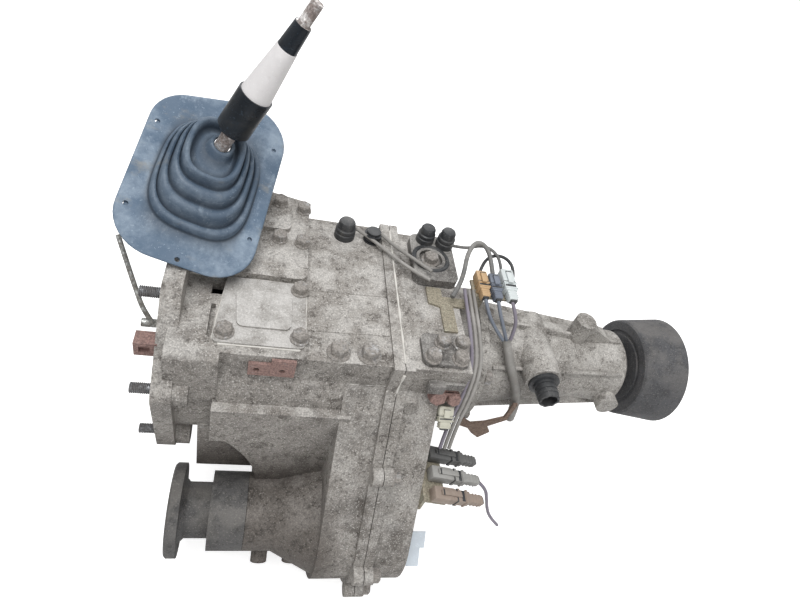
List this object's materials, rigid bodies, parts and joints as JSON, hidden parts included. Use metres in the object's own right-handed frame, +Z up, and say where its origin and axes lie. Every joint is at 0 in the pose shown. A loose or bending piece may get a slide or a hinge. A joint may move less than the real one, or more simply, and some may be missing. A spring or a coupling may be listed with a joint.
{
  "type": "transfer case",
  "caption": "Cast two-speed four wheel drive transfer case with chain driven front output, brake drum at the rear, gaitered shift lever, switches and wiring",
  "frame": {"origin": "centre of the gearbox face on the main shaft axis, the mouth of the input bore", "axes": "+X runs rearward along the main shaft towards the rear output flange, +Z is up, +Y is the vehicle's right; the front output lies at -Y and -Z"},
  "size_m": [0.625, 0.3611, 0.5418],
  "materials": {
    "casting": "rough",
    "dark_casting": "rough",
    "drum": "worn",
    "machined_steel": "machined",
    "unit_case": "machined",
    "chain_steel": "oiled",
    "lever_steel": "worn",
    "bolts": "worn",
    "bracket_steel": "rusted",
    "gaiter_rubber": "matt",
    "seal_rubber": "matt",
    "tape": "matt",
    "black_plastic": "matt",
    "plug_plastic": "matt",
    "wire": "matt",
    "tag": "matt"
  },
  "bodies": {
    "case": {"adapter_plate": "casting", "main_case": "casting", "chain_cover": "casting", "extension_housing": "casting", "bearing_outer_races": "machined_steel", "oil_seals": "seal_rubber", "drive_chain": "chain_steel", "lever_pivot_pin": "machined_steel", "shift_cover": "casting", "inspection_cover": "casting", "boot": "gaiter_rubber", "position_switches": "black_plastic", "rail_covers": "casting", "temperature_sender": "black_plastic", "drain_plugs": "bolts", "case_bolts": "bolts", "cover_bolts": "bolts", "studs": "bolts", "steel_brackets": "bracket_steel", "speed_sensor": "black_plastic", "wires": "wire", "harness_sleeve": "seal_rubber", "loose_wire": "wire", "upper_connectors": "plug_plastic", "lower_connectors": "plug_plastic", "connector_brackets": "bracket_steel", "hook_bracket": "bracket_steel", "paper_tag": "tag", "control_rod": "bracket_steel"},
    "rear_output": {"output_shaft": "machined_steel", "centre_differential": "unit_case", "viscous_coupling": "unit_case", "drive_sprocket": "machined_steel", "rear_flange": "dark_casting", "rear_flange_nut": "bolts", "rear_drum": "drum", "rear_inner_races": "machined_steel", "speedo_drive_gear": "machined_steel"},
    "input": {"input_shaft": "machined_steel", "input_inner_race": "machined_steel"},
    "counter": {"counter_gear": "machined_steel", "counter_inner_races": "machined_steel"},
    "low_gear": {"low_gear": "machined_steel"},
    "front_output": {"front_output_shaft": "machined_steel", "front_sprocket": "machined_steel", "front_flange": "dark_casting", "front_flange_nut": "bolts", "front_dust_shield": "dark_casting", "front_inner_races": "machined_steel"},
    "speedo_pinion": {"speedo_pinion": "black_plastic"},
    "range_shift": {"range_rail": "machined_steel", "range_fork": "unit_case"},
    "range_sleeve": {"range_sleeve": "machined_steel"},
    "lever": {"shift_lever": "lever_steel", "lever_sleeve": "seal_rubber", "lever_tape": "tape"},
    "mode_shift": {"mode_rail": "machined_steel", "mode_fork": "unit_case"},
    "mode_sleeve": {"mode_sleeve": "machined_steel"}
  },
  "joints": [
    {"name": "rear_output_spin", "type": "hinge", "parent": "case", "child": "rear_output", "pos_m": [0, 0, 0], "axis": [1, 0, 0], "continuous": true, "deforming": ["drive_chain"]},
    {"name": "input_spin", "type": "hinge", "parent": "case", "child": "input", "pos_m": [0, 0, 0], "axis": [1, 0, 0], "continuous": true},
    {"name": "counter_spin", "type": "hinge", "parent": "case", "child": "counter", "pos_m": [0.07, 0.02437, -0.06695], "axis": [1, 0, 0], "continuous": true},
    {"name": "low_gear_spin", "type": "hinge", "parent": "case", "child": "low_gear", "pos_m": [0.09, 0, 0], "axis": [1, 0, 0], "continuous": true},
    {"name": "front_output_spin", "type": "hinge", "parent": "case", "child": "front_output", "pos_m": [0.1, -0.13576, -0.13576], "axis": [1, 0, 0], "continuous": true},
    {"name": "speedo_pinion_spin", "type": "hinge", "parent": "case", "child": "speedo_pinion", "pos_m": [0.386, 0, 0.038], "axis": [0, -1, 0], "continuous": true},
    {"name": "range_shift_slide", "type": "slide", "parent": "case", "child": "range_shift", "axis": [1, 0, 0], "range_m": [0, 0.009]},
    {"name": "range_sleeve_slide", "type": "slide", "parent": "rear_output", "child": "range_sleeve", "axis": [1, 0, 0], "range_m": [0, 0.009]},
    {"name": "lever_shift", "type": "hinge", "parent": "case", "child": "lever", "pos_m": [0.041, 0.06, 0.105], "axis": [0, 1, 0], "range_deg": [-10, 10], "deforming": ["boot"]},
    {"name": "mode_shift_slide", "type": "slide", "parent": "case", "child": "mode_shift", "axis": [1, 0, 0], "range_m": [-0.006, 0.006]},
    {"name": "mode_sleeve_slide", "type": "slide", "parent": "rear_output", "child": "mode_sleeve", "axis": [1, 0, 0], "range_m": [-0.006, 0.006]}
  ],
  "couplings": [
    {"joint": "input_spin", "follows": "rear_output_spin", "ratio": 1},
    {"joint": "counter_spin", "follows": "rear_output_spin", "ratio": -0.83871},
    {"joint": "low_gear_spin", "follows": "rear_output_spin", "ratio": 0.52719},
    {"joint": "front_output_spin", "follows": "rear_output_spin", "ratio": 1},
    {"joint": "speedo_pinion_spin", "follows": "rear_output_spin", "ratio": -0.34783},
    {"joint": "range_sleeve_slide", "follows": "range_shift_slide", "ratio": 1},
    {"joint": "mode_shift_slide", "follows": "lever_shift", "m_per_rad": -0.031},
    {"joint": "mode_sleeve_slide", "follows": "lever_shift", "m_per_rad": -0.031}
  ]
}
